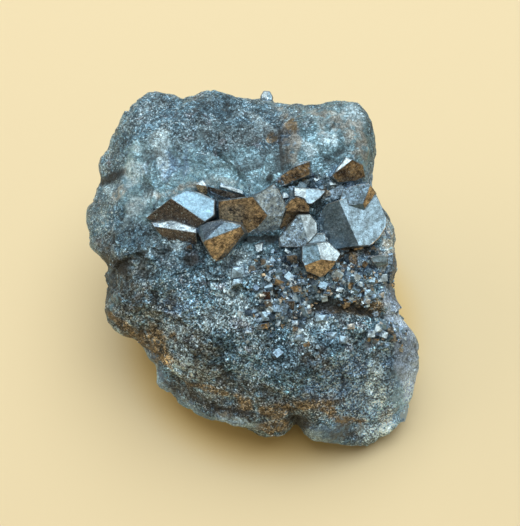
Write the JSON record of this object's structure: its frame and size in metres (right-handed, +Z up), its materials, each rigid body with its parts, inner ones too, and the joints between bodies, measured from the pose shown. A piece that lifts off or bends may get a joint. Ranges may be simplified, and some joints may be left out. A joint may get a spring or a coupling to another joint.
{
  "type": "skutterudite specimen",
  "caption": "Broken lump of granular metallic ore with a pocket of flat-faced metallic crystals across its sloping face, resting on a flat foot.",
  "frame": {"origin": "middle of the bounding box, on the plane of the flat foot", "axes": "+Z up, +X to the right across the crystal face, +Y away from the side that the crystal face slopes down to"},
  "size_m": [0.0691, 0.0672, 0.0449],
  "materials": {
    "ore": "broken granular metallic ore, fine sparkle, brown stain in the hollows",
    "bright_crystal": "flat steel-blue metallic crystal faces, finely stippled",
    "tarnished_crystal": "metallic crystal faces with a mottled bronze tarnish",
    "quartz": "cloudy greyish quartz, waxy"
  },
  "bodies": {
    "root": {"ore_mass": "ore", "left_blade": "bright_crystal", "lower_blade": "bright_crystal", "front_crystal": "tarnished_crystal", "centre_crystal": "tarnished_crystal", "gold_ledge": "tarnished_crystal", "round_crystal": "tarnished_crystal", "bright_wedge": "bright_crystal", "pale_block": "bright_crystal", "right_cluster": "bright_crystal", "corner_crystal": "tarnished_crystal", "low_crystal": "bright_crystal", "gold_bead": "tarnished_crystal", "small_cube": "bright_crystal", "brow_crystal": "bright_crystal", "quartz_chip": "quartz", "edge_crystal": "bright_crystal"}
  },
  "joints": []
}
